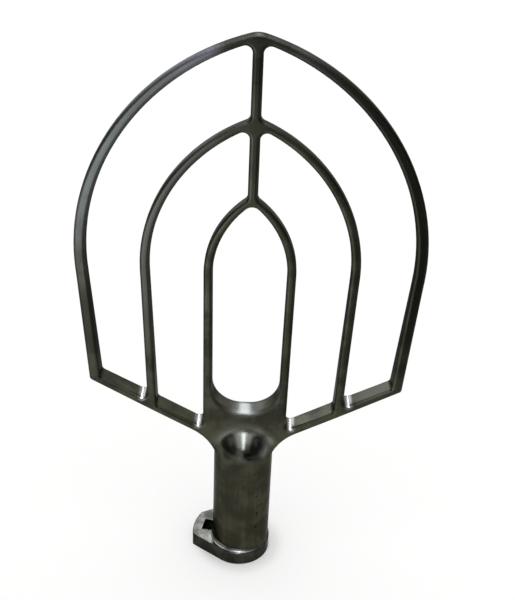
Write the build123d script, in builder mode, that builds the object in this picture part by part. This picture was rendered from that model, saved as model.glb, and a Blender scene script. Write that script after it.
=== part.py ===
"""Flat beater for a planetary mixer, built up from stainless steel sections.

Millimetres. The hub's axis is Z with its foot at z = 0, X runs across the paddle and Y is its depth.
The whole smooth form is drawn first. Narrow gaps then cut it into the bows, spines, arms, crown and
barrel that are butt welded together, and the weld metal that fills each gap is a piece of its own.
"""

import os
from math import atan2, cos, degrees, radians, sin, tan

from build123d import *

# Depth from front to back: deep at the web and arms, thinning down along the legs to the apex.
web_depth = 13.0
shoulder_depth = 7.2
apex_depth = 6.0
depth_blend = 160.0
bend_drop = 6.0
edge_land = 0.4

# Bows: nested at one pitch. Half widths lie on the bars' centre lines at the shoulder, where the legs
# turn into arcs.
outer_apex_height = 340.4
apex_pitch = 43.5
shoulder_drop = 132.9
inner_half_width = 23.6
bar_pitch = 35.8
outer_lean = 3.5
middle_lean = 1.7
inner_lean = 0.4
outer_leg_width = 6.6
middle_leg_width = 5.4
inner_leg_width = 5.2
outer_apex_width = 4.5
middle_apex_width = 4.6
inner_apex_width = 4.4
spine_width = 5.6

# Arms and web: the arms' underside is measured where it would cross the hub's axis.
arm_width = 5.0
arm_root_height = 80.4
arm_rise = 29.4
crotch_height = 113.8
crotch_flat = 1.85
flank_radius = 32.0
flank_inset = 2.5

# Rounding in the paddle's own plane.
apex_round = 14.0
crotch_apex_round = 5.0
corner_round = 2.6
spine_fillet = 3.6
arm_fillet = 3.0

# Hub: a barrel with a blind bore for the mixer's shaft, closed by a round dome.
barrel_radius = 18.5
bore_radius = 12.75
bore_depth = 74.0
dome_drop = 7.4
hub_blend = 6.0

# Bayonet: the shaft's drive pin rises through the lug's slot, turns and rests on the shelf beside it.
# The collar lies a little off the hub's axis, so that its ledge is widest in front and beside the lug.
collar_height = 9.4
collar_margin = 1.8
collar_shift_x = -1.0
collar_shift_y = -0.5
collar_edge_round = 0.5
lug_radius = 32.0
lug_angle = 168.5
lug_half_angle = 19.5
shelf_reach = 27.2
lug_corner_round = 2.5
pin_diameter = 9.6
pin_reach = 25.4
pin_clearance = 0.4
lock_turn = 44.0

# Welds.
weld_gap = 1.6
weld_land = 1.5
barrel_joint_height = 60.0
collar_bead = 1.7
collar_bead_sag = 0.35
cut_margin = 1.0

# Sizes that follow from those above.
shoulder_height = outer_apex_height - shoulder_drop
middle_apex_height = outer_apex_height - apex_pitch
inner_apex_height = middle_apex_height - apex_pitch
middle_half_width = inner_half_width + bar_pitch
outer_half_width = middle_half_width + bar_pitch
paddle_reach = outer_half_width + outer_leg_width
web_half_width = barrel_radius - flank_inset
collar_radius = barrel_radius + collar_margin
slot_width = pin_diameter + pin_clearance
slot_reach = pin_reach + pin_clearance
turn_top = collar_height + slot_width
rest_angle = lug_angle - lock_turn
spine_setback = 2 * spine_fillet + weld_land
leg_setback = 2 * arm_fillet + weld_land

# Edges are rounded until a narrow land is left on the thinnest bar.
edge_round = (min(outer_apex_width, middle_apex_width, inner_apex_width, arm_width) - edge_land) / 2

# Each bow: half width, lean of its legs, apex height, leg width and apex width.
outer_bar = (outer_half_width, outer_lean, outer_apex_height, outer_leg_width, outer_apex_width)
middle_bar = (middle_half_width, middle_lean, middle_apex_height, middle_leg_width, middle_apex_width)
inner_bar = (inner_half_width, inner_lean, inner_apex_height, inner_leg_width, inner_apex_width)


def arm_underside(x: float) -> float:
    """Height of the arms' underside at a distance from the hub's axis."""
    return arm_root_height + abs(x) * tan(radians(arm_rise))


def arm_top(x: float) -> float:
    """Height of the arms' top side at a distance from the hub's axis."""
    return arm_underside(x) + arm_width / cos(radians(arm_rise))


def leg_centre(bar: tuple[float, ...], height: float) -> float:
    """Distance of a leg's centre line from the hub's axis, at a height below the shoulder."""
    half_width, lean = bar[:2]
    return half_width - (shoulder_height - height) * tan(radians(lean))


def apex_span(bar: tuple[float, ...]) -> float:
    """Upright measure of a bow's width at its apex, where its two arcs meet at a slope."""
    half_width, lean, apex_height, _, apex_width = bar
    slope = 90 - lean - 2 * degrees(atan2(half_width, apex_height - shoulder_height))
    return apex_width / cos(radians(slope))


def turned_plane(angle: float, height: float = 0.0) -> Plane:
    """Level plane on the hub's axis whose X axis points at an angle about it."""
    return Plane((0, 0, height), x_dir=(cos(radians(angle)), sin(radians(angle)), 0))


def arch(bar: tuple[float, ...], side: int, mode: Mode = Mode.ADD) -> None:
    """Face under the outside (side 1) or the inside (side -1) of a bow.

    The legs lean in below the shoulder, and arcs rise from them, tangent, to the apex.
    """
    half_width, lean, apex_height, leg_width, _ = bar
    shoulder = Vector(half_width + side * leg_width / 2, shoulder_height)
    leg = Vector(tan(radians(lean)), 1)
    foot = shoulder - leg * shoulder_height
    with BuildLine() as edges:
        Line(foot, shoulder)
        TangentArc(shoulder, (0, apex_height + side * apex_span(bar) / 2), tangent=leg)
        mirror(about=Plane.YZ)
        Line((-foot.X, foot.Y), foot)
    make_face(edges.edges(), mode=mode)


# Centre of the dome, a little below the corner that web and arms would meet in, and the crotch's round
# between the inner legs.
dome_height = arm_underside(web_half_width) - dome_drop
crotch_radius = leg_centre(inner_bar, crotch_height) - inner_leg_width / 2 - crotch_flat

# Everything below the arms' top sides, which the windows stop at.
with BuildSketch() as below_arms:
    with BuildLine():
        Polyline(
            (-paddle_reach, 0),
            (-paddle_reach, arm_top(paddle_reach)),
            (0, arm_top(0)),
            (paddle_reach, arm_top(paddle_reach)),
            (paddle_reach, 0),
            close=True,
        )
    make_face()

# Everything below the arms and beside the web, with the flanks that sweep from one into the other.
with BuildSketch() as undercut:
    flank_corner = Vector(web_half_width, arm_underside(web_half_width))
    with BuildLine():
        Polyline(
            (web_half_width, 0),
            flank_corner,
            (paddle_reach, arm_underside(paddle_reach)),
            (paddle_reach, 0),
            close=True,
        )
    make_face()
    fillet(undercut.vertices().sort_by_distance(flank_corner)[0], flank_radius)
    mirror(about=Plane.YZ)

# Depth of the paddle seen from the side, thinning from the web to the apex.
with BuildSketch(Plane.YZ) as side_profile:
    tip_height = outer_apex_height + outer_leg_width
    bend_height = shoulder_height - bend_drop
    with BuildLine():
        Polyline(
            (0, 0),
            (web_depth / 2, 0),
            (web_depth / 2, crotch_height),
            (shoulder_depth / 2, bend_height),
            (apex_depth / 2, tip_height),
            (0, tip_height),
            close=True,
        )
    make_face()
    bends = side_profile.vertices().filter_by(lambda v: v.Y in (crotch_height, bend_height))
    fillet(bends, depth_blend)
    mirror(about=Plane.YZ)

# Paddle: outline, five windows and tapered depth. The front half gets its edges rounded and is mirrored.
with BuildPart() as paddle:
    with BuildSketch(Plane.XZ) as outline:
        arch(outer_bar, 1)
        add(undercut.sketch, mode=Mode.SUBTRACT)
        on_underside = outline.vertices().filter_by(lambda v: abs(v.Y - arm_underside(v.X)) < 0.01)
        fillet(on_underside.sort_by(lambda v: abs(v.X))[-2:], corner_round)
        fillet(outline.vertices().sort_by(Axis.Y)[-1], apex_round)
    extrude(amount=web_depth / 2)
    for larger, smaller in ((outer_bar, middle_bar), (middle_bar, inner_bar)):
        with BuildSketch(Plane.XZ) as windows:
            arch(larger, -1)
            arch(smaller, 1, mode=Mode.SUBTRACT)
            add(below_arms.sketch, mode=Mode.SUBTRACT)
            Rectangle(spine_width, 3 * outer_apex_height, mode=Mode.SUBTRACT)
            on_spine = windows.vertices().filter_by(lambda v: abs(abs(v.X) - spine_width / 2) < 0.01)
            fillet(on_spine, spine_fillet)
            on_arms = windows.vertices().filter_by(lambda v: abs(v.Y - arm_top(v.X)) < 0.01)
            fillet(on_arms, arm_fillet)
        extrude(amount=web_depth, both=True, mode=Mode.SUBTRACT)
    with BuildSketch(Plane.XZ) as centre_window:
        arch(inner_bar, -1)
        with Locations((0, crotch_height)):
            Rectangle(
                2 * paddle_reach,
                crotch_height,
                align=(Align.CENTER, Align.MAX),
                mode=Mode.SUBTRACT,
            )
        fillet(centre_window.vertices().group_by(Axis.Y)[0], crotch_radius)
        fillet(centre_window.vertices().sort_by(Axis.Y)[-1], crotch_apex_round)
    extrude(amount=web_depth, both=True, mode=Mode.SUBTRACT)
    extrude(side_profile.sketch, amount=paddle_reach, both=True, mode=Mode.INTERSECT)
    walls = paddle.faces().filter_by(lambda f: abs(f.normal_at().Y) < 0.2 and f.center().Z > 0)
    front_edges = walls.edges().filter_by(lambda e: e.bounding_box().max.Y < -cut_margin)
    fillet(front_edges, edge_round)
    mirror(about=Plane.XZ)

# Room that the drive pin sweeps: up through the lug, then round to its rest on the shelf.
with BuildPart() as pin_way:
    with BuildSketch(turned_plane(lug_angle)):
        Rectangle(slot_reach, slot_width, align=(Align.MIN, Align.CENTER))
    extrude(amount=turn_top)
    with BuildSketch(turned_plane(rest_angle, collar_height)):
        Rectangle(slot_reach, slot_width, align=(Align.MIN, Align.CENTER))
    extrude(amount=slot_width)
    with BuildSketch(turned_plane(rest_angle, collar_height)):
        with BuildLine():
            sweep_arc = CenterArc((0, 0), slot_reach, 0, lock_turn)
            Polyline(sweep_arc @ 1, (0, 0), sweep_arc @ 0)
        make_face()
    extrude(amount=slot_width)

# Form: hub and paddle blended together, with the shaft's bore and the pin's way cut out.
with BuildPart() as form:
    with BuildSketch(Plane.XZ):
        with BuildLine():
            Polyline((0, dome_height + barrel_radius), (0, 0), (barrel_radius, 0), (barrel_radius, dome_height))
            CenterArc((0, dome_height), barrel_radius, 0, 90)
        make_face()
    revolve(axis=Axis.Z)
    add(paddle.part)
    fillet(form.edges(Select.NEW), hub_blend)
    with BuildSketch(Plane.XZ):
        with BuildLine():
            Polyline((0, 0), (bore_radius, 0), (bore_radius, bore_depth), (0, bore_depth), close=True)
        make_face()
    revolve(axis=Axis.Z, mode=Mode.SUBTRACT)
    add(pin_way.part, mode=Mode.SUBTRACT)

# Places of the butt welds, with the width of the bar that each one joins.
spine_tops = [bar[2] - apex_span(bar) / 2 - spine_setback for bar in (outer_bar, middle_bar)]
spine_feet = [bar[2] + apex_span(bar) / 2 + spine_setback for bar in (middle_bar, inner_bar)]
leg_joints = {}
for name, bar in (("outer_leg_welds", outer_bar), ("middle_leg_welds", middle_bar)):
    height = arm_top(leg_centre(bar, shoulder_height) + bar[3] / 2) + leg_setback
    leg_joints[name] = (bar, height)
leg_joints["inner_leg_welds"] = (inner_bar, crotch_height + crotch_radius + weld_land)
arm_joint_reach = web_half_width + flank_radius * tan(radians((90 - arm_rise) / 2)) + weld_land
arm_joint_height = (arm_underside(arm_joint_reach) + arm_top(arm_joint_reach)) / 2

joints = {
    "upper_spine_welds": (spine_width, [Location((0, 0, spine_tops[0])), Location((0, 0, spine_feet[0]))]),
    "lower_spine_welds": (spine_width, [Location((0, 0, spine_tops[1])), Location((0, 0, spine_feet[1]))]),
}
for name, (bar, height) in leg_joints.items():
    places = [Location((side * leg_centre(bar, height), 0, height)) for side in (-1, 1)]
    joints[name] = (bar[3], places)
joints["arm_welds"] = (
    arm_width,
    [Location((side * arm_joint_reach, 0, arm_joint_height), (0, side * (90 - arm_rise), 0)) for side in (-1, 1)],
)
joints["barrel_weld"] = (2 * barrel_radius, [Location((0, 0, barrel_joint_height))])

pieces = {}
gaps = []
for name, (width, places) in joints.items():
    span = width + 2 * cut_margin
    with BuildPart() as slabs:
        with Locations(*places):
            Box(span, max(web_depth, width) + 2 * cut_margin, weld_gap)
    gaps.append(slabs.part)
    with BuildPart() as welds:
        add(slabs.part)
        add(form.part, mode=Mode.INTERSECT)
    pieces[name] = welds

# What the gaps leave of the form falls into separate sections, each known by a point inside it.
with BuildPart() as sections:
    add(form.part)
    add(gaps, mode=Mode.SUBTRACT)

arm_middle = (outer_half_width + middle_half_width) / 2
arm_middle_height = (arm_underside(arm_middle) + arm_top(arm_middle)) / 2
inside_points = {
    "outer_bow": (outer_half_width, 0, shoulder_height),
    "middle_bow": (middle_half_width, 0, shoulder_height),
    "inner_bow": (inner_half_width, 0, shoulder_height),
    "upper_spine": (0, 0, (spine_tops[0] + spine_feet[0]) / 2),
    "lower_spine": (0, 0, (spine_tops[1] + spine_feet[1]) / 2),
    "left_arm": (-arm_middle, 0, arm_middle_height),
    "right_arm": (arm_middle, 0, arm_middle_height),
    "hub_crown": (0, 0, crotch_height - edge_round),
    "hub_barrel": ((barrel_radius + bore_radius) / 2, 0, barrel_joint_height / 2),
}
for name, point in inside_points.items():
    with BuildPart() as section:
        add([solid for solid in sections.solids() if solid.is_inside(point)])
    pieces[name] = section

# Collar: a ring round the barrel's foot that widens into the lug and the shelf.
with BuildSketch() as collar_outline:
    with BuildLine() as rims:
        CenterArc((collar_shift_x, collar_shift_y), collar_radius, 0, 360)
        CenterArc((0, 0), lug_radius, lug_angle - lug_half_angle, 2 * lug_half_angle)
        shelf_corner = turned_plane(rest_angle).from_local_coords((shelf_reach - lug_corner_round, 0))
        CenterArc(shelf_corner, lug_corner_round, 0, 360)
    make_hull(rims.edges())
    lug_corners = vertices().group_by(lambda v: round(v.center().length, 3))[-1]
    fillet(lug_corners, lug_corner_round)

with BuildPart() as bayonet_collar:
    extrude(collar_outline.sketch, amount=collar_height)
    fillet(bayonet_collar.faces().sort_by(Axis.Z)[-1].edges(), collar_edge_round)
    Cylinder(barrel_radius, 3 * collar_height, mode=Mode.SUBTRACT)
    add(pin_way.part, mode=Mode.SUBTRACT)
pieces["bayonet_collar"] = bayonet_collar

# Bead that welds the collar to the barrel, dressed hollow. It ends where the collar's edge is rounded, and
# is broken where the pin passes.
with BuildPart() as collar_weld:
    with BuildSketch(Plane.XZ):
        bead_toe = (barrel_radius + collar_bead, collar_height)
        bead_crest = (barrel_radius, collar_height + collar_bead)
        with BuildLine():
            Polyline(bead_crest, (barrel_radius, collar_height), bead_toe)
            SagittaArc(bead_toe, bead_crest, collar_bead_sag)
        make_face()
    revolve(axis=Axis.Z)
    with BuildSketch(Plane.XY.offset(collar_height)):
        add(collar_outline.sketch)
        offset(amount=-collar_edge_round, mode=Mode.REPLACE)
    extrude(amount=collar_bead, mode=Mode.INTERSECT)
    add(pin_way.part, mode=Mode.SUBTRACT)
pieces["collar_weld"] = collar_weld

os.makedirs("parts", exist_ok=True)
for name, piece in pieces.items():
    piece.part.label = name
    export_step(piece.part, f"parts/{name}.step")
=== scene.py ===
"""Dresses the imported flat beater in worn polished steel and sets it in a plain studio.

Metres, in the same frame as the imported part: the hub's axis is Z with its foot on the floor, X runs
across the paddle and Y is its depth, away from the camera.
"""

import logging
import math
from dataclasses import dataclass, field, replace
from enum import Enum
from typing import Any

import bmesh
import bpy
from mathutils import Matrix, Vector

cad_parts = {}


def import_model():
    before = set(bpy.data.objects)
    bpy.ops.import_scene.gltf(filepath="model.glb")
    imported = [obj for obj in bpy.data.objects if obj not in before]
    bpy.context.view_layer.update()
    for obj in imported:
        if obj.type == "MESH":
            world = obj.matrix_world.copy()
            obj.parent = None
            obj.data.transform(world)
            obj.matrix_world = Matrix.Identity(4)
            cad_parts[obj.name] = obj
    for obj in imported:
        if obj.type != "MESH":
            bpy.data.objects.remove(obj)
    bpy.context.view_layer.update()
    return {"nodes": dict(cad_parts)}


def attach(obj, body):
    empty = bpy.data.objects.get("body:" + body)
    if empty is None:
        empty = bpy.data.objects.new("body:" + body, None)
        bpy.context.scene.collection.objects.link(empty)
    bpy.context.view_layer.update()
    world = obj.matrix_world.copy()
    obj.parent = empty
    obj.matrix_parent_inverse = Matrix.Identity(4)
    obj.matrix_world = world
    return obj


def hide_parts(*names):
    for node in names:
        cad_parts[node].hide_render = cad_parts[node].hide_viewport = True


MM = 0.001
BODY = "root"
UP = (0.0, 0.0, 1.0)
DOWN = (0.0, 0.0, -1.0)
WHITE = "#ffffff"

frame: dict[str, Any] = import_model()

logging.basicConfig(level=logging.INFO, format="%(message)s")
log = logging.getLogger("flat_beater")


class Run(Enum):
    """Which way the polishing belt ran over a piece."""

    UPRIGHT = "along the hub's axis"
    SLANTED = "along a raked arm"
    BOWED = "up a leg and over the bow"


class Slot(Enum):
    """The record's material slots."""

    PADDLE = "paddle_steel"
    HUB = "hub_steel"
    COLLAR = "collar_steel"
    WELD = "weld_metal"


def linear(hex_colour: str) -> tuple[float, float, float, float]:
    """Linear colour of an sRGB hex value.

    Args:
        hex_colour: Six hex digits, with or without a leading hash.

    Returns:
        Red, green, blue and an alpha of 1, as the shader sockets take them.
    """
    digits = hex_colour.lstrip("#")
    channels = [int(digits[i : i + 2], 16) / 255 for i in (0, 2, 4)]
    lin = [c / 12.92 if c <= 0.04045 else ((c + 0.055) / 1.055) ** 2.4 for c in channels]
    return (*lin, 1.0)


def add_node(
    tree: bpy.types.NodeTree,
    kind: str,
    inputs: dict[int | str, Any] | None = None,
    **settings: Any,
) -> bpy.types.Node:
    """Adds one node with its settings, values and links.

    Args:
        tree: Node tree that gets the node.
        kind: Blender's type name of the node, without "ShaderNode" in front.
        inputs: Value or output socket for each input, by name or place.
        **settings: Properties of the node itself.

    Returns:
        The new node.
    """
    node = tree.nodes.new(f"ShaderNode{kind}")
    for name, value in settings.items():
        setattr(node, name, value)
    for key, value in (inputs or {}).items():
        if isinstance(value, bpy.types.NodeSocket):
            tree.links.new(value, node.inputs[key])
        else:
            node.inputs[key].default_value = value
    return node


@dataclass(frozen=True)
class Grain:
    """Course of the polishing lines on a piece, in millimetres and degrees."""

    run: Run = Run.UPRIGHT
    rake: float = 0.0
    half_width: float = 0.0
    lean: float = 0.0
    shoulder: float = 0.0
    radius: float = 0.0

    def coordinates(self, tree: bpy.types.NodeTree, place: bpy.types.NodeSocket) -> bpy.types.NodeSocket:
        """Turns a place into across, depth and along the polishing lines.

        Args:
            tree: Node tree of the material.
            place: Object coordinates in millimetres.

        Returns:
            Vector socket whose Z runs along the lines.
        """
        if self.run is Run.UPRIGHT:
            return place
        parts = add_node(tree, "SeparateXYZ", {0: place}).outputs
        reach = add_node(tree, "Math", {0: parts[0]}, operation="ABSOLUTE").outputs[0]
        one_side = add_node(tree, "CombineXYZ", {0: reach, 1: parts[1], 2: parts[2]}).outputs[0]
        if self.run is Run.SLANTED:
            turn = math.radians(self.rake - 90)
            upright = add_node(tree, "VectorRotate", {0: one_side, "Angle": turn}, rotation_type="Y_AXIS")
            return upright.outputs[0]
        knee = (self.half_width, 0, self.shoulder)
        centre = (self.half_width - self.radius, 0, self.shoulder)
        leg = add_node(
            tree,
            "VectorRotate",
            {0: one_side, "Center": knee, "Angle": -math.radians(self.lean)},
            rotation_type="Y_AXIS",
        ).outputs[0]
        from_centre = add_node(tree, "VectorMath", {0: leg, 1: centre}, operation="SUBTRACT").outputs[0]
        flat = add_node(tree, "SeparateXYZ", {0: from_centre}).outputs
        above = add_node(tree, "Math", {0: flat[2], 1: 0.0}, operation="MAXIMUM").outputs[0]
        spoke = add_node(tree, "CombineXYZ", {0: flat[0], 2: above}).outputs[0]
        across = add_node(tree, "VectorMath", {0: spoke}, operation="LENGTH").outputs["Value"]
        along = add_node(tree, "Math", {0: flat[2], 1: flat[0]}, operation="SUBTRACT").outputs[0]
        return add_node(tree, "CombineXYZ", {0: across, 1: parts[1], 2: along}).outputs[0]


@dataclass(frozen=True)
class Film:
    """Thin film of old fat that browns the steel low on the hub, in millimetres of height.

    Its cover is a share, and so is what has worn off it where the steel under it is lightest.
    """

    colour: str = "#323127"
    full_below: float = 62.0
    none_above: float = 96.0
    cover: float = 0.9
    worn: float = 0.6


@dataclass(frozen=True)
class Spot:
    """A spot, or a shell round one: a real pit, or painted light, a painted highlight, a painted reflection
    or painted shade, in millimetres.

    A spot with a lower limit fades in over a short rise above it. One that goes through reaches from the
    front of the paddle to its back.
    """

    centre: tuple[float, float, float]
    full_within: float
    none_beyond: float
    roughness: float
    colour: str
    cover: float = 1.0
    hollow_within: float = 0.0
    above: float | None = None
    rise: float = 4.0
    through: bool = False

    def mask(self, tree: bpy.types.NodeTree, place: bpy.types.NodeSocket) -> bpy.types.NodeSocket:
        """How much of the spot shows at each place.

        Args:
            tree: Node tree of the material.
            place: Object coordinates in millimetres.

        Returns:
            Value socket, from 0 where the metal is plain to the spot's cover.
        """
        if self.through:
            flat = add_node(tree, "VectorMath", {0: place, 1: (1, 0, 1)}, operation="MULTIPLY").outputs[0]
        else:
            flat = place
        away = add_node(tree, "VectorMath", {0: flat, 1: self.centre}, operation="DISTANCE").outputs["Value"]
        reach = add_node(
            tree,
            "MapRange",
            {0: away, 1: self.none_beyond, 2: self.full_within, 3: 0.0, 4: self.cover},
            interpolation_type="SMOOTHSTEP",
        ).outputs[0]
        if self.hollow_within:
            outside = add_node(
                tree, "MapRange", {0: away, 1: self.hollow_within, 2: self.full_within, 3: 0.0, 4: 1.0}
            ).outputs[0]
            reach = add_node(tree, "Math", {0: reach, 1: outside}, operation="MULTIPLY").outputs[0]
        if self.above is not None:
            height = add_node(tree, "SeparateXYZ", {0: place}).outputs[2]
            higher = add_node(
                tree, "MapRange", {0: height, 1: self.above, 2: self.above + self.rise, 3: 0.0, 4: 1.0}
            ).outputs[0]
            reach = add_node(tree, "Math", {0: reach, 1: higher}, operation="MULTIPLY").outputs[0]
        return reach


@dataclass(frozen=True)
class Blend:
    """Where the grinder ran two faces into each other, in millimetres."""

    centre: tuple[float, float, float]
    full_within: float
    none_beyond: float
    radius: float
    samples: int = 6

    def normal(self, tree: bpy.types.NodeTree, place: bpy.types.NodeSocket) -> bpy.types.NodeSocket:
        """Direction of the surface with its corners eased near the blend.

        Args:
            tree: Node tree of the material.
            place: Object coordinates in millimetres.

        Returns:
            Normal socket.
        """
        away = add_node(tree, "VectorMath", {0: place, 1: self.centre}, operation="DISTANCE").outputs["Value"]
        radius = add_node(
            tree, "MapRange", {0: away, 1: self.none_beyond, 2: self.full_within, 3: 0.0, 4: self.radius * MM}
        ).outputs[0]
        return add_node(tree, "Bevel", {"Radius": radius}, samples=self.samples).outputs[0]


@dataclass(frozen=True)
class SteelFinish:
    """Stainless steel, belt polished and then dulled to a dark sheen by years of use.

    The eye gets a dark grey mirror that is a little soft, streaks along the belt's run, cloudy patches
    where dough and detergent have etched the polish, and a few small pits. The edge tint holds back the
    white glare that clean metal has at a grazing angle. The ranges are the parts of the noise that show.
    """

    name: str
    dark: str = "#313129"
    light: str = "#46463a"
    pit: str = "#12120d"
    edge: str = "#bcbcbc"
    film: Film | None = None
    spots: tuple[Spot, ...] = ()
    roughness: float = 0.31
    roughness_swing: float = 0.08
    line_mm: float = 1.0
    line_length: float = 34.0
    line_depth_mm: float = 0.003
    line_tone: float = 0.25
    line_range: tuple[float, float] = (0.3, 0.7)
    cloud_mm: float = 16.0
    cloud_range: tuple[float, float] = (0.36, 0.64)
    speck_mm: float = 1.7
    speck_depth_mm: float = 0.003
    wave_mm: float = 11.0
    wave_depth_mm: float = 0.05
    pit_pitch_mm: float = 6.5
    pit_size_mm: float = 0.42
    pit_share: float = 0.25
    pit_floor: float = 0.5
    pit_depth_mm: float = 0.05
    pit_roughness: float = 0.3
    blend: Blend | None = None

    def material(self, grain: Grain) -> bpy.types.Material:
        """Makes the finish for one course of polishing lines.

        Args:
            grain: Course of the lines on the piece.

        Returns:
            Material that reads Object coordinates.
        """
        made = bpy.data.materials.new(self.name)
        made.use_nodes = True
        tree = made.node_tree
        tree.nodes.clear()
        metres = add_node(tree, "TexCoord").outputs["Object"]
        place = add_node(tree, "VectorMath", {0: metres, "Scale": 1 / MM}, operation="SCALE").outputs[0]

        # Belt lines: noise drawn out along the run. Real ones are near 0.1 mm and would not show.
        course = grain.coordinates(tree, place)
        drawn_out = add_node(
            tree, "VectorMath", {0: course, 1: (1, 1, 1 / self.line_length)}, operation="MULTIPLY"
        ).outputs[0]
        lines = add_node(
            tree,
            "TexNoise",
            {"Vector": drawn_out, "Scale": 1 / self.line_mm, "Detail": 2.0, "Roughness": 0.6},
        ).outputs[0]

        # Clouds of etched polish, specks between them, and the waviness that hand polishing leaves.
        clouds = add_node(
            tree, "TexNoise", {"Vector": place, "Scale": 1 / self.cloud_mm, "Detail": 4.0, "Roughness": 0.55}
        ).outputs[0]
        specks = add_node(
            tree, "TexNoise", {"Vector": place, "Scale": 1 / self.speck_mm, "Detail": 2.0}
        ).outputs[0]
        waves = add_node(
            tree, "TexNoise", {"Vector": place, "Scale": 1 / self.wave_mm, "Detail": 0.0}
        ).outputs[0]

        # Pits: some cells of a scattered pattern hold a small round hole.
        cells = add_node(tree, "TexVoronoi", {"Vector": place, "Scale": 1 / self.pit_pitch_mm}).outputs
        pit_edge = self.pit_size_mm / self.pit_pitch_mm
        holes = add_node(
            tree,
            "MapRange",
            {0: cells["Distance"], 1: self.pit_floor * pit_edge, 2: pit_edge, 3: 1.0, 4: 0.0},
            interpolation_type="SMOOTHSTEP",
        ).outputs[0]
        chance = add_node(tree, "SeparateColor", {0: cells["Color"]}).outputs[0]
        chosen = add_node(tree, "Math", {0: chance, 1: self.pit_share}, operation="LESS_THAN").outputs[0]
        pits = add_node(tree, "Math", {0: holes, 1: chosen}, operation="MULTIPLY").outputs[0]

        # Colour: a mix node's sockets 6 and 7 are its two colours, and its output 2 is the mixed one.
        low, high = self.cloud_range
        patch = add_node(
            tree,
            "MapRange",
            {0: clouds, 1: low, 2: high, 3: 0.0, 4: 1.0},
            interpolation_type="SMOOTHSTEP",
        ).outputs[0]
        low, high = self.line_range
        streak = add_node(
            tree, "MapRange", {0: lines, 1: low, 2: high, 3: -self.line_tone, 4: self.line_tone}
        ).outputs[0]
        tone = add_node(tree, "Math", {0: patch, 1: streak}, operation="ADD", use_clamp=True).outputs[0]
        colour = add_node(
            tree, "Mix", {0: tone, 6: linear(self.dark), 7: linear(self.light)}, data_type="RGBA"
        ).outputs[2]
        if self.film:
            height = add_node(tree, "SeparateXYZ", {0: place}).outputs[2]
            covered = add_node(
                tree,
                "MapRange",
                {0: height, 1: self.film.none_above, 2: self.film.full_below, 3: 0.0, 4: self.film.cover},
                interpolation_type="SMOOTHSTEP",
            ).outputs[0]
            left_on = add_node(
                tree, "MapRange", {0: tone, 1: 0.0, 2: 1.0, 3: 1.0, 4: 1 - self.film.worn}
            ).outputs[0]
            covered = add_node(tree, "Math", {0: covered, 1: left_on}, operation="MULTIPLY").outputs[0]
            colour = add_node(
                tree, "Mix", {0: covered, 6: colour, 7: linear(self.film.colour)}, data_type="RGBA"
            ).outputs[2]
        # Spots: real pits, and painted highlights, painted reflections and painted shade.
        spot_masks = []
        for spot in self.spots:
            mask = spot.mask(tree, place)
            colour = add_node(
                tree, "Mix", {0: mask, 6: colour, 7: linear(spot.colour)}, data_type="RGBA"
            ).outputs[2]
            spot_masks.append(mask)
        colour = add_node(tree, "Mix", {0: pits, 6: colour, 7: linear(self.pit)}, data_type="RGBA").outputs[2]

        # Roughness: the lighter polish is the smoother one, and the pits are rough.
        rougher = self.roughness + self.roughness_swing / 2
        smoother = self.roughness - self.roughness_swing / 2
        rough = add_node(tree, "MapRange", {0: tone, 1: 0.0, 2: 1.0, 3: rougher, 4: smoother}).outputs[0]
        for spot, mask in zip(self.spots, spot_masks):
            rough = add_node(tree, "Mix", {0: mask, 2: rough, 3: spot.roughness}).outputs[0]
        rough = add_node(
            tree, "Math", {0: pits, 1: self.pit_roughness, 2: rough}, operation="MULTIPLY_ADD"
        ).outputs[0]

        # Heights in millimetres, summed for one bump.
        relief = add_node(tree, "Math", {0: lines, 1: self.line_depth_mm}, operation="MULTIPLY").outputs[0]
        for layer, depth in (
            (specks, self.speck_depth_mm),
            (waves, self.wave_depth_mm),
            (pits, -self.pit_depth_mm),
        ):
            relief = add_node(
                tree, "Math", {0: layer, 1: depth, 2: relief}, operation="MULTIPLY_ADD"
            ).outputs[0]
        bump = add_node(tree, "Bump", {"Strength": 1.0, "Distance": MM, "Height": relief})
        if self.blend:
            tree.links.new(self.blend.normal(tree, place), bump.inputs["Normal"])

        shader = add_node(
            tree,
            "BsdfPrincipled",
            {
                "Base Color": colour,
                "Metallic": 1.0,
                "Roughness": rough,
                "Normal": bump.outputs[0],
                "Specular Tint": linear(self.edge),
            },
        )
        add_node(tree, "OutputMaterial", {"Surface": shader.outputs[0]})
        return made


@dataclass
class SteelPiece:
    """One section of the beater: a merged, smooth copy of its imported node, with a finish."""

    node: str
    slot: Slot
    finish: SteelFinish
    grain: Grain = field(default_factory=Grain)
    merge: float = 0.002 * MM
    sharp_degrees: float = 35.0

    def build(self) -> bpy.types.Object:
        """Merges a copy of the node's loose triangles and shades it smooth.

        Returns:
            The piece, which stands for its node and rides with the part.
        """
        mesh = bmesh.new()
        mesh.from_mesh(frame["nodes"][self.node].data)
        bmesh.ops.remove_doubles(mesh, verts=mesh.verts, dist=self.merge)
        bmesh.ops.dissolve_degenerate(mesh, dist=self.merge, edges=mesh.edges)
        sharp = math.radians(self.sharp_degrees)
        for face in mesh.faces:
            face.smooth = True
        for edge in mesh.edges:
            edge.smooth = edge.calc_face_angle(0.0) < sharp
        name = f"{self.node}_polished"
        data = bpy.data.meshes.new(name)
        mesh.to_mesh(data)
        mesh.free()
        if "custom_normal" in data.attributes:
            data.attributes.remove(data.attributes["custom_normal"])
        piece = bpy.data.objects.new(name, data)
        bpy.context.scene.collection.objects.link(piece)
        weighted = piece.modifiers.new("true_normals", "WEIGHTED_NORMAL")
        weighted.keep_sharp = True
        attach(piece, BODY)
        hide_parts(self.node)
        return piece

    def dress(self, piece: bpy.types.Object) -> None:
        """Gives the piece its finish.

        Args:
            piece: The piece that build made.
        """
        piece.data.materials.clear()
        piece.data.materials.append(self.finish.material(self.grain))
        log.info("%s: %s, polished %s", piece.name, self.finish.name, self.grain.run.value)


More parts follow.
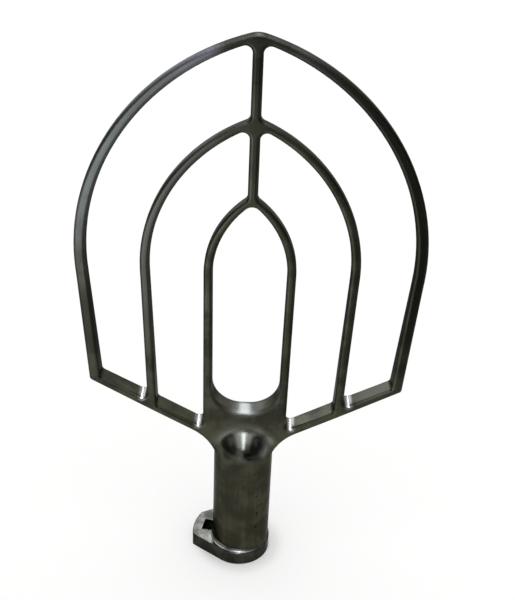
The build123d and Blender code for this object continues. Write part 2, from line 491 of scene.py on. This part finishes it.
# Heights of the bows' tips above the foot.
OUTER_APEX, MIDDLE_APEX, INNER_APEX = 340.4, 296.9, 253.4

# The spots that use has left follow. Each gives its centre, the distances within which it is full and
# beyond which it is gone, its roughness, its colour and its cover.

# Bows: painted shade under the tips, darkest on top of the outer one, and painted shade over the outer tip's
# highlight.
# The left side has painted light, lighter and bluer, and the right side and the left foot have painted shade.
# Painted shade at each bow's tip, a little below it.
SHADE_DROP = 4.0
APEX_SHADE = tuple(
    Spot((0.0, 0.0, apex - SHADE_DROP), 14.0, 26.0, 0.28, tone, 0.9)
    for apex, tone in ((OUTER_APEX, "#2c2c25"), (MIDDLE_APEX, "#3a3a31"), (INNER_APEX, "#3e3e35"))
)
# Painted shade that darkens the highlight on the outer tip.
APEX_TIP_SHADE = Spot((1.0, -1.2, 343.0), 2.0, 7.0, 0.34, "#1f1f1a", 0.75)
# Painted light on the left side of the outer bow, a painted highlight at its shoulder, and painted light on
# the middle bow's left leg.
LIT_SIDE = Spot((-60.0, 0.0, 310.0), 45.0, 135.0, 0.3, "#545655", 0.8)
SHOULDER_HIGHLIGHT = Spot((-30.0, 0.0, 329.0), 6.0, 24.0, 0.24, "#636367", 0.8)
LIT_LEG = Spot((-54.0, 0.0, 240.0), 50.0, 100.0, 0.3, "#494743", 0.8)
# Painted shade on the right side of the outer bow, on the inner bow's right leg, and low on the left outer
# leg.
SHADED_SIDE = Spot((84.0, 0.0, 262.0), 64.0, 112.0, 0.3, "#2a2a24", 0.8)
SHADED_LEG = Spot((34.0, 0.0, 185.0), 30.0, 52.0, 0.31, "#303028", 0.35)
SHADED_FOOT = Spot((-91.0, 0.0, 176.0), 13.0, 35.0, 0.31, "#2a2b26", 0.8)

# Arms: painted light on the ledge on the right, and painted highlights in the inner corners.
LIT_LEDGE = Spot((82.0, 0.0, 131.0), 10.0, 22.0, 0.3, "#46473d", 0.8)
CORNER_HIGHLIGHTS = tuple(
    Spot((side * x, 0.0, z), 0.8, 3.4, 0.22, "#8a8b84", 0.9, through=True)
    for side in (-1, 1)
    for x, z in ((28.8, 102.8), (62.8, 122.0))
)

# Crown: a glossy nose with painted light and dark reflections on it, a pale painted highlight in a ring where
# it was blended in, and the crotch, with painted highlights in its middle and along its rim.
NOSE = Spot((0.0, -9.0, 91.0), 13.0, 18.5, 0.13, "#46473f", 1.0, above=82.0)
# Painted reflections on the nose: light marks and dark marks.
NOSE_REFLECTIONS = (
    Spot((14.2, -7.6, 92.0), 1.5, 6.0, 0.3, "#84857d", 0.9),
    Spot((12.0, -12.4, 88.8), 1.0, 5.0, 0.36, "#7d7e76", 0.7),
    Spot((8.0, -7.0, 98.4), 1.5, 5.5, 0.38, "#74756d", 0.55),
    Spot((-7.8, -10.1, 95.3), 1.5, 4.5, 0.16, "#292a25", 0.5),
    Spot((7.8, -10.1, 95.3), 1.5, 4.5, 0.16, "#292a25", 0.85),
    Spot((2.6, -16.1, 90.6), 1.2, 3.6, 0.14, "#22231f", 0.85),
    Spot((-9.0, -14.2, 87.8), 2.0, 5.5, 0.24, "#24231f", 0.85),
    Spot((-4.6, -17.0, 87.2), 1.0, 3.8, 0.3, "#2b2a26", 0.75),
)
HALO_HIGHLIGHT = Spot((0.0, -6.0, 80.0), 19.8, 27.0, 0.34, "#5e5f57", 0.6, hollow_within=16.4, above=88.0)
CROTCH_HIGHLIGHT = Spot((0.0, 0.0, 124.0), 10.4, 15.0, 0.26, "#4c4d48", 0.9, through=True)
CROTCH_RIM_HIGHLIGHT = Spot((0.0, 0.0, 132.3), 20.4, 22.4, 0.38, "#5a5b4f", 0.4, hollow_within=18.9, through=True)

# Barrel and foot: two larger pits, painted shade round the pin slot, and painted highlights on the bead at
# its front and at its left.
LARGE_PITS = tuple(
    Spot(place, 0.4, 1.5, 0.5, "#0d0d09", 0.8) for place in ((10.2, -15.4, 40.4), (10.0, -15.6, 29.2))
)
# Painted shade round the pin slot.
SLOT_SHADE = (
    Spot((-21.5, 13.6, 9.4), 2.5, 7.0, 0.25, "#171714", 0.8),
    Spot((-22.5, -1.8, 9.4), 1.5, 5.0, 0.25, "#23231f", 0.6),
)
# Painted highlights on the bead, at its front and at its left.
BEAD_FRONT_HIGHLIGHT = Spot((-1.0, -20.0, 15.0), 2.5, 8.5, 0.26, "#73746e", 0.9)
BEAD_LEFT_HIGHLIGHT = Spot((-13.6, -14.0, 10.2), 2.5, 7.0, 0.34, "#84857d", 0.85)

# Bars and arms: dark satin steel with fine lines along each bar, and painted light, painted shade and painted
# highlights on each bow and arm.
PADDLE_STEEL = SteelFinish("belt_polished_stainless_bar")
# The outer bow carries painted light, a painted highlight and painted shade, the middle one painted light and
# painted shade, and the inner one painted shade.
OUTER_BAR_STEEL = replace(
    PADDLE_STEEL,
    name="outer_stainless_bar_with_painted_light_and_shade",
    spots=(LIT_SIDE, SHOULDER_HIGHLIGHT, SHADED_SIDE, SHADED_FOOT, *APEX_SHADE, APEX_TIP_SHADE),
)
LEANING_STEEL = replace(PADDLE_STEEL, name="middle_stainless_bar_with_painted_light_and_shade", spots=(LIT_LEG, *APEX_SHADE))
INNER_STEEL = replace(PADDLE_STEEL, name="inner_stainless_bar_with_painted_shade", spots=(SHADED_LEG, *APEX_SHADE))
# The arms carry painted light on the right ledge, painted shade low on the left and painted highlights in the
# corners.
ARM_STEEL = replace(
    PADDLE_STEEL, name="belt_polished_stainless_arm", spots=(LIT_LEDGE, SHADED_FOOT, *CORNER_HIGHLIGHTS)
)

# Spines: the same polish, with painted shade that makes them darker than the bars, and the lower one less
# dark.
SPINE_STEEL = replace(
    PADDLE_STEEL,
    name="belt_polished_stainless_spine_painted_shade",
    dark="#25251e",
    light="#35352c",
    spots=APEX_SHADE,
)
LOWER_SPINE_STEEL = replace(
    SPINE_STEEL, name="belt_polished_stainless_lower_spine_painted_shade", dark="#2d2d25", light="#3f3f35"
)

# Hub: broad soft streaks under a brown film, and larger pits. Its crown is blended by hand and has no film
# on top, so it is greyer and smoother.
HUB_STEEL = SteelFinish(
    "belt_polished_stainless_hub",
    film=Film(),
    spots=LARGE_PITS,
    line_mm=2.4,
    line_tone=0.35,
    pit_pitch_mm=7.5,
    pit_size_mm=0.7,
    pit_share=0.3,
)
# The crown carries the painted reflections and painted highlights of its nose, halo, crotch and corners.
CROWN_STEEL = replace(
    HUB_STEEL,
    name="hand_blended_stainless_crown",
    line_tone=0.12,
    pit_size_mm=0.42,
    spots=(NOSE, HALO_HIGHLIGHT, *NOSE_REFLECTIONS, CROTCH_HIGHLIGHT, CROTCH_RIM_HIGHLIGHT, *CORNER_HIGHLIGHTS),
    blend=Blend((0.0, -6.0, 106.0), 26.0, 32.0, 4.0),
)

# Foot: the collar is smooth from handling and mirrors most clearly, with painted shade round the pin slot,
# and its bead is ground duller, with painted highlights.
COLLAR_STEEL = SteelFinish(
    "rubbed_stainless_collar",
    dark="#2a2a25",
    light="#3e3e37",
    spots=SLOT_SHADE,
    roughness=0.22,
    cloud_mm=9.0,
)
BEAD_STEEL = replace(
    COLLAR_STEEL,
    name="hand_ground_stainless_bead",
    dark="#3a3b35",
    light="#4c4d46",
    spots=(BEAD_FRONT_HIGHLIGHT, BEAD_LEFT_HIGHLIGHT),
    roughness=0.34,
)

# Welds: ground flush and polished with the pieces that they join, so that they don't show.
# The bar welds carry the arms' painted light, painted shade and painted highlights.
BAR_WELD = replace(PADDLE_STEEL, name="flush_ground_bar_weld", spots=ARM_STEEL.spots)
# The spine welds share the spines' painted shade.
SPINE_WELD = replace(SPINE_STEEL, name="flush_ground_spine_weld")
LOWER_SPINE_WELD = replace(LOWER_SPINE_STEEL, name="flush_ground_lower_spine_weld")
ARM_WELD = replace(ARM_STEEL, name="flush_ground_arm_weld")
HUB_WELD = replace(HUB_STEEL, name="flush_ground_hub_weld")


@dataclass
class Bow:
    """A pointed bow: two leaning legs below the shoulder and two arcs up to the apex, in millimetres."""

    node: str
    leg_welds: str
    half_width: float
    lean: float
    apex_height: float
    finish: SteelFinish
    shoulder: float = 207.5

    def arc_radius(self) -> float:
        """Radius of the arc that leaves the leg and ends at the apex.

        Returns:
            Radius in millimetres.
        """
        rise = self.apex_height - self.shoulder
        chord = math.hypot(self.half_width, rise)
        turn = math.atan2(self.half_width, rise) + math.radians(self.lean)
        return chord / (2 * math.sin(turn))

    def grain(self) -> Grain:
        """Polishing lines that follow the legs and the arcs.

        Returns:
            Course of the lines.
        """
        return Grain(
            Run.BOWED,
            half_width=self.half_width,
            lean=self.lean,
            shoulder=self.shoulder,
            radius=self.arc_radius(),
        )

    def build(self) -> None:
        """Builds and dresses the bow and the welds at the feet of its legs."""
        for node, slot, finish in (
            (self.node, Slot.PADDLE, self.finish),
            (self.leg_welds, Slot.WELD, BAR_WELD),
        ):
            section = SteelPiece(node, slot, finish, self.grain())
            section.dress(section.build())


@dataclass
class Arms:
    """The raked arms and their welds to the crown, in degrees of rise from the hub."""

    rake: float
    sections: tuple[str, ...] = ("left_arm", "right_arm")
    welds: str = "arm_welds"

    def build(self) -> None:
        """Builds and dresses the arms and their welds."""
        course = Grain(Run.SLANTED, self.rake)
        for node in self.sections:
            section = SteelPiece(node, Slot.PADDLE, ARM_STEEL, course)
            section.dress(section.build())
        weld = SteelPiece(self.welds, Slot.WELD, ARM_WELD, course)
        weld.dress(weld.build())


@dataclass
class Hub:
    """Crown, barrel and the collar with the bayonet's lug, and the two ring welds."""

    sections: tuple[SteelPiece, ...] = (
        SteelPiece("hub_crown", Slot.HUB, CROWN_STEEL),
        SteelPiece("hub_barrel", Slot.HUB, HUB_STEEL),
        SteelPiece("barrel_weld", Slot.WELD, HUB_WELD),
        SteelPiece("bayonet_collar", Slot.COLLAR, COLLAR_STEEL),
        SteelPiece("collar_weld", Slot.WELD, BEAD_STEEL),
    )

    def build(self) -> None:
        """Builds and dresses the hub's sections."""
        for section in self.sections:
            section.dress(section.build())


@dataclass
class Joinery:
    """Spines between the bows, and their welds, which were ground flush."""

    sections: tuple[SteelPiece, ...] = (
        SteelPiece("upper_spine", Slot.PADDLE, SPINE_STEEL),
        SteelPiece("lower_spine", Slot.PADDLE, LOWER_SPINE_STEEL),
        SteelPiece("upper_spine_welds", Slot.WELD, SPINE_WELD),
        SteelPiece("lower_spine_welds", Slot.WELD, LOWER_SPINE_WELD),
    )

    def build(self) -> None:
        """Builds and dresses the spines and welds."""
        for section in self.sections:
            section.dress(section.build())


@dataclass(frozen=True)
class Panel:
    """A lit or dark panel outside the picture that only the steel mirrors, in metres.

    White paper has a brightness of 1. The panel fades out over a margin, so that its mirror image has no
    hard edge.
    """

    name: str
    place: tuple[float, float, float]
    faces: tuple[float, float, float]
    width: float
    length: float
    brightness: float
    margin: float
    colour: str = "#e9edfc"

    def build(self) -> None:
        """Sets up the panel, with its face the given way."""
        mesh = bmesh.new()
        bmesh.ops.create_grid(mesh, x_segments=1, y_segments=1, size=1.0)
        data = bpy.data.meshes.new(self.name)
        mesh.to_mesh(data)
        mesh.free()
        data.materials.append(self.paper())
        panel = bpy.data.objects.new(self.name, data)
        panel.matrix_world = (
            Matrix.Translation(self.place)
            @ Vector(self.faces).to_track_quat("Z", "Y").to_matrix().to_4x4()
            @ Matrix.Diagonal((self.width / 2, self.length / 2, 1, 1))
        )
        panel.visible_camera = False
        panel.visible_diffuse = False
        panel.visible_shadow = False
        bpy.context.scene.collection.objects.link(panel)
        log.info("panel %s", self.name)

    def paper(self) -> bpy.types.Material:
        """Evenly lit paper that thins out to nothing at the panel's edges.

        Returns:
            Material that reads the panel's own coordinates.
        """
        made = bpy.data.materials.new(f"{self.name}_paper")
        made.use_nodes = True
        tree = made.node_tree
        tree.nodes.clear()
        local = add_node(tree, "TexCoord").outputs["Object"]
        away = add_node(tree, "VectorMath", {0: local}, operation="ABSOLUTE").outputs[0]
        sides = add_node(tree, "SeparateXYZ", {0: away}).outputs
        fades = [
            add_node(
                tree,
                "MapRange",
                {0: sides[i], 1: 1 - 2 * self.margin / size, 2: 1.0, 3: 1.0, 4: 0.0},
                interpolation_type="SMOOTHSTEP",
            ).outputs[0]
            for i, size in enumerate((self.width, self.length))
        ]
        cover = add_node(tree, "Math", {0: fades[0], 1: fades[1]}, operation="MULTIPLY").outputs[0]
        light = {"Color": linear(self.colour), "Strength": self.brightness}
        shine = add_node(tree, "Emission", light).outputs[0]
        clear = add_node(tree, "BsdfTransparent").outputs[0]
        both = add_node(tree, "MixShader", {0: cover, 1: clear, 2: shine}).outputs[0]
        add_node(tree, "OutputMaterial", {"Surface": both})
        return made


@dataclass
class Studio:
    """A wide white floor under even daylight, with panels for the steel to mirror, in metres.

    The panels give their places, the ways they face, their widths, lengths, brightnesses and margins.
    """

    floor_radius: float = 30.0
    sides: int = 96
    floor_colour: str = "#f7f7f6"
    floor_glow: float = 0.45
    daylight: float = 0.12
    daylight_angle: float = 120.0
    sky: float = 1.0
    shaded_within: float = 0.024
    open_beyond: float = 0.032
    panels: tuple[Panel, ...] = (
        # Light from above, from behind and from a window in front, along the tops of the bars.
        Panel("ceiling_tube", (0.0, 0.0, 1.5), DOWN, 0.28, 5.2, 26.0, 0.07),
        Panel("lit_ceiling", (-0.05, 0.2, 1.62), DOWN, 2.2, 3.4, 3.4, 0.5),
        Panel("back_panel", (0.0, 2.2, 2.1), (0.0, -2.2, -2.0), 2.8, 1.2, 2.5, 0.3),
        Panel("left_back", (-1.51, 1.56, 1.15), (1.51, -1.56, -0.9), 2.2, 1.0, 4.2, 0.3),
        Panel("right_back", (1.9, 1.15, 1.6), (-1.9, -1.15, -1.3), 1.3, 1.2, 0.35, 0.3, WHITE),
        Panel("front_window", (-0.5, -1.55, 1.6), (0.5, 1.55, -1.4), 0.8, 0.95, 4.0, 0.2),
        # The floor that the lower faces mirror: dark at the right and behind, light at the left.
        Panel("floor_behind", (0.0, 0.68, 0.001), UP, 1.2, 1.24, 0.2, 0.2, WHITE),
        Panel("floor_far", (0.2, -1.25, 0.001), UP, 0.6, 1.3, 0.1, 0.15, WHITE),
        Panel("floor_right", (1.125, -0.875, 0.002), UP, 2.15, 1.75, 0.4, 0.12, WHITE),
        Panel("floor_strip", (0.17, -0.78, 0.003), UP, 0.24, 1.1, 0.05, 0.06, WHITE),
        Panel("floor_left", (-0.68, -0.52, 0.002), UP, 1.32, 0.56, 2.3, 0.1, "#e6ecf2"),
        Panel("floor_cool", (-0.33, -0.95, 0.003), UP, 0.44, 1.2, 4.5, 0.15, "#e6ecf6"),
        # Dark walls, which give the front faces their depth.
        Panel("front_dark", (0.65, -2.2, 0.33), (-0.65, 2.2, 0.0), 1.5, 0.95, 0.05, 0.25, WHITE),
        Panel("left_wall", (-1.5, -1.0, 0.35), (1.0, 0.0, 0.0), 3.4, 1.5, 0.12, 0.4, WHITE),
        Panel("left_front", (-1.49, -2.0, 0.95), (1.0, 0.0, 0.0), 2.4, 2.1, 0.2, 0.35, WHITE),
        Panel("right_wall", (1.5, -1.25, 0.4), (-1.0, 0.0, 0.0), 3.4, 1.6, 0.1, 0.4, WHITE),
        Panel("right_front", (1.49, -1.98, 1.25), (-1.0, 0.0, 0.0), 2.4, 2.3, 0.1, 0.35, WHITE),
    )

    def build(self) -> None:
        """Sets the floor, the daylight and the panels."""
        mesh = bmesh.new()
        bmesh.ops.create_circle(mesh, cap_ends=True, radius=self.floor_radius, segments=self.sides)
        data = bpy.data.meshes.new("studio_floor")
        mesh.to_mesh(data)
        mesh.free()
        data.materials.append(self.paper())
        floor = bpy.data.objects.new("studio_floor", data)
        bpy.context.scene.collection.objects.link(floor)

        sun_data = bpy.data.lights.new("daylight", "SUN")
        sun_data.energy = self.daylight * math.pi
        sun_data.angle = math.radians(self.daylight_angle)
        sun = bpy.data.objects.new("daylight", sun_data)
        sun.visible_glossy = False
        bpy.context.scene.collection.objects.link(sun)

        world = bpy.data.worlds.new("soft_room")
        world.use_nodes = True
        background = world.node_tree.nodes["Background"]
        background.inputs["Color"].default_value = linear(WHITE)
        background.inputs["Strength"].default_value = self.sky
        bpy.context.scene.world = world
        bpy.context.scene.view_settings.view_transform = "Standard"
        for panel in self.panels:
            panel.build()

    def paper(self) -> bpy.types.Material:
        """Matt white paper of the floor, lifted toward white where it is seen, except under the bore.

        Returns:
            Material that keeps the object's shadow.
        """
        made = bpy.data.materials.new("matt_studio_paper")
        made.use_nodes = True
        tree = made.node_tree
        tree.nodes.clear()
        matt = add_node(tree, "BsdfDiffuse", {"Color": linear(self.floor_colour)})
        path = add_node(tree, "LightPath").outputs
        seen = path["Is Camera Ray"]
        for way in ("Is Glossy Ray", "Is Transmission Ray"):
            seen = add_node(tree, "Math", {0: seen, 1: path[way]}, operation="MAXIMUM").outputs[0]
        metres = add_node(tree, "TexCoord").outputs["Object"]
        away = add_node(tree, "VectorMath", {0: metres}, operation="LENGTH").outputs["Value"]
        glow = add_node(
            tree,
            "MapRange",
            {0: away, 1: self.shaded_within, 2: self.open_beyond, 3: 0.0, 4: self.floor_glow},
            interpolation_type="SMOOTHSTEP",
        ).outputs[0]
        lift = add_node(tree, "Math", {0: seen, 1: glow}, operation="MULTIPLY").outputs[0]
        white = add_node(tree, "Emission", {"Color": linear(WHITE), "Strength": 1.0}).outputs[0]
        both = add_node(tree, "MixShader", {0: lift, 1: matt.outputs[0], 2: white}).outputs[0]
        add_node(tree, "OutputMaterial", {"Surface": both})
        return made


@dataclass(frozen=True)
class PhotoCamera:
    """The camera that was fitted to the photograph: millimetres and degrees."""

    lens: float = 54.0
    sensor: float = 36.0
    target: tuple[float, float, float] = (4.888, 0.0, 190.503)
    distance: float = 517.211
    elevation: float = 30.280
    yaw: float = -0.022
    roll: float = 2.491
    clip_start: float = 10.0

    def build(self) -> None:
        """Places the camera and makes it the scene's own."""
        elevation, yaw, roll = (math.radians(a) for a in (self.elevation, self.yaw, self.roll))
        back = Vector(
            (
                math.sin(yaw) * math.cos(elevation),
                -math.cos(yaw) * math.cos(elevation),
                math.sin(elevation),
            )
        )
        level = (-back).cross(Vector(UP)).normalized()
        upright = level.cross(-back)
        right = math.cos(roll) * level + math.sin(roll) * upright
        up = -math.sin(roll) * level + math.cos(roll) * upright
        data = bpy.data.cameras.new("photo_camera")
        data.lens = self.lens
        data.sensor_width = self.sensor
        data.clip_start = self.clip_start * MM
        camera = bpy.data.objects.new("photo_camera", data)
        place = (Vector(self.target) + back * self.distance) * MM
        camera.matrix_world = Matrix.Translation(place) @ Matrix((right, up, back)).transposed().to_4x4()
        bpy.context.scene.collection.objects.link(camera)
        bpy.context.scene.camera = camera


def main() -> None:
    """Builds the beater, the studio and the camera in order."""
    for name, half_width, lean, apex, finish in (
        ("outer", 95.2, 3.5, OUTER_APEX, OUTER_BAR_STEEL),
        ("middle", 59.4, 1.7, MIDDLE_APEX, LEANING_STEEL),
        ("inner", 23.6, 0.4, INNER_APEX, INNER_STEEL),
    ):
        Bow(f"{name}_bow", f"{name}_leg_welds", half_width, lean, apex, finish).build()
    Arms(rake=29.4).build()
    Hub().build()
    Joinery().build()
    Studio().build()
    PhotoCamera().build()


if __name__ == "__main__":
    main()
